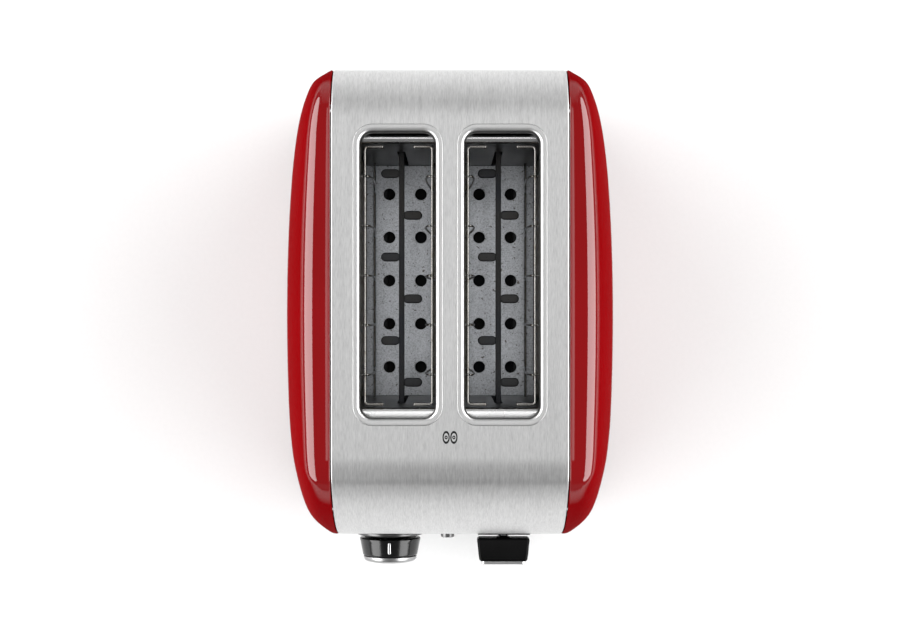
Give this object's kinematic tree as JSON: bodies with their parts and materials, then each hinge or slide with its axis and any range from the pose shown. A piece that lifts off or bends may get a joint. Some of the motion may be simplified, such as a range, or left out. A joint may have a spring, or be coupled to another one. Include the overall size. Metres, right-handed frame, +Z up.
{
  "type": "pop up toaster",
  "caption": "Two-slot wide-mouth pop-up toaster: brushed steel wrap, bulged glossy side covers, browning knob, lift lever, push buttons and rear crumb tray.",
  "frame": {"origin": "centre of the overall box on the table plane under the feet", "axes": "+Z up, +Y towards the rear wall, -Y towards the controls, +X to the right seen from the front"},
  "size_m": [0.179, 0.275, 0.2],
  "materials": {
    "brushed_steel": "fine brushed, grain front to back",
    "red_enamel": "high gloss enamel",
    "dark_steel": "semi-gloss heat-darkened",
    "zinc_sheet": "zinc plated",
    "bright_wire": "bright nickel plate",
    "mica": "matte flaky sheet",
    "nichrome": "oxidised ribbon",
    "black_plastic": "gloss moulded",
    "satin_metal": "satin",
    "rubber": "matte",
    "circuit_board": "solder mask",
    "copper": "enamelled winding"
  },
  "bodies": {
    "root": {"outer_wrap": "brushed_steel", "side_cover_left": "red_enamel", "side_cover_right": "red_enamel", "side_frame_left": "dark_steel", "side_frame_right": "dark_steel", "base_plate": "black_plastic", "foot_1": "rubber", "foot_2": "rubber", "foot_3": "rubber", "foot_4": "rubber", "base_screw_1": "satin_metal", "base_screw_2": "satin_metal", "base_screw_3": "satin_metal", "base_screw_4": "satin_metal", "front_end_plate": "dark_steel", "rear_end_plate": "dark_steel", "top_deck": "zinc_sheet", "floor_grille": "zinc_sheet", "reflector_left": "zinc_sheet", "reflector_right": "zinc_sheet", "heater_mica_left_inner": "mica", "heater_mica_left_outer": "mica", "heater_mica_right_inner": "mica", "heater_mica_right_outer": "mica", "heater_ribbon_left_inner": "nichrome", "heater_ribbon_left_outer": "nichrome", "heater_ribbon_right_inner": "nichrome", "heater_ribbon_right_outer": "nichrome", "guide_rod": "satin_metal", "lift_spring": "bright_wire", "magnet_core": "zinc_sheet", "magnet_coil": "copper", "control_board": "circuit_board", "shade_pot_body": "satin_metal", "knob_bezel": "black_plastic", "lever_bezel": "black_plastic", "button_panel": "black_plastic", "cord_gland": "rubber", "terminal_block": "black_plastic"},
    "bread_lift": {"bread_rack_left": "dark_steel", "bread_rack_right": "dark_steel", "carriage_plate": "zinc_sheet", "rod_bushing": "black_plastic", "latch_armature": "zinc_sheet", "lever_arm": "zinc_sheet", "lever_knob": "black_plastic", "lever_cap": "satin_metal"},
    "knob": {"shade_knob": "black_plastic", "knob_cap": "satin_metal", "shade_pot_shaft": "satin_metal"},
    "tray": {"crumb_tray": "zinc_sheet", "crumb_tray_handle": "black_plastic"},
    "button_1": {"button_1": "satin_metal"},
    "button_2": {"button_2": "satin_metal"},
    "button_3": {"button_3": "satin_metal"},
    "button_4": {"button_4": "satin_metal"},
    "cage_left_outer": {"guard_cage_left_outer": "bright_wire"},
    "cage_left_inner": {"guard_cage_left_inner": "bright_wire"},
    "cage_right_inner": {"guard_cage_right_inner": "bright_wire"},
    "cage_right_outer": {"guard_cage_right_outer": "bright_wire"}
  },
  "joints": [
    {"name": "lever_lift", "type": "slide", "parent": "root", "child": "bread_lift", "axis": [0, 0, 1], "range_m": [-0.08, 0.012], "stiffness_N_per_m": 120, "springref_m": 0.012, "deforming": ["lift_spring"]},
    {"name": "shade_turn", "type": "hinge", "parent": "root", "child": "knob", "pos_m": [-0.0349, -0.1222, 0.067], "axis": [0, -1, 0], "range_deg": [-135, 135]},
    {"name": "tray_pull", "type": "slide", "parent": "root", "child": "tray", "axis": [0, 1, 0], "range_m": [0, 0.15]},
    {"name": "button_press_1", "type": "slide", "parent": "root", "child": "button_1", "axis": [0, 1, 0], "range_m": [0, 0.0015], "stiffness_N_per_m": 500, "springref_m": -0.0006},
    {"name": "button_press_2", "type": "slide", "parent": "root", "child": "button_2", "axis": [0, 1, 0], "range_m": [0, 0.0015], "stiffness_N_per_m": 500, "springref_m": -0.0006},
    {"name": "button_press_3", "type": "slide", "parent": "root", "child": "button_3", "axis": [0, 1, 0], "range_m": [0, 0.0015], "stiffness_N_per_m": 500, "springref_m": -0.0006},
    {"name": "button_press_4", "type": "slide", "parent": "root", "child": "button_4", "axis": [0, 1, 0], "range_m": [0, 0.0015], "stiffness_N_per_m": 500, "springref_m": -0.0006},
    {"name": "guard_close_left_outer", "type": "hinge", "parent": "root", "child": "cage_left_outer", "pos_m": [-0.0447, 0.028, 0.048], "axis": [0, 1, 0], "range_deg": [-0.5, 3.1]},
    {"name": "guard_close_left_inner", "type": "hinge", "parent": "root", "child": "cage_left_inner", "pos_m": [-0.0093, 0.028, 0.048], "axis": [0, 1, 0], "range_deg": [-3.1, 0.5]},
    {"name": "guard_close_right_inner", "type": "hinge", "parent": "root", "child": "cage_right_inner", "pos_m": [0.0093, 0.028, 0.048], "axis": [0, 1, 0], "range_deg": [-0.5, 3.1]},
    {"name": "guard_close_right_outer", "type": "hinge", "parent": "root", "child": "cage_right_outer", "pos_m": [0.0447, 0.028, 0.048], "axis": [0, 1, 0], "range_deg": [-3.1, 0.5]}
  ],
  "couplings": [
    {"joint": "guard_close_left_outer", "follows": "lever_lift", "rad_per_m": -0.655},
    {"joint": "guard_close_left_inner", "follows": "lever_lift", "rad_per_m": 0.655},
    {"joint": "guard_close_right_inner", "follows": "lever_lift", "rad_per_m": -0.655},
    {"joint": "guard_close_right_outer", "follows": "lever_lift", "rad_per_m": 0.655}
  ]
}
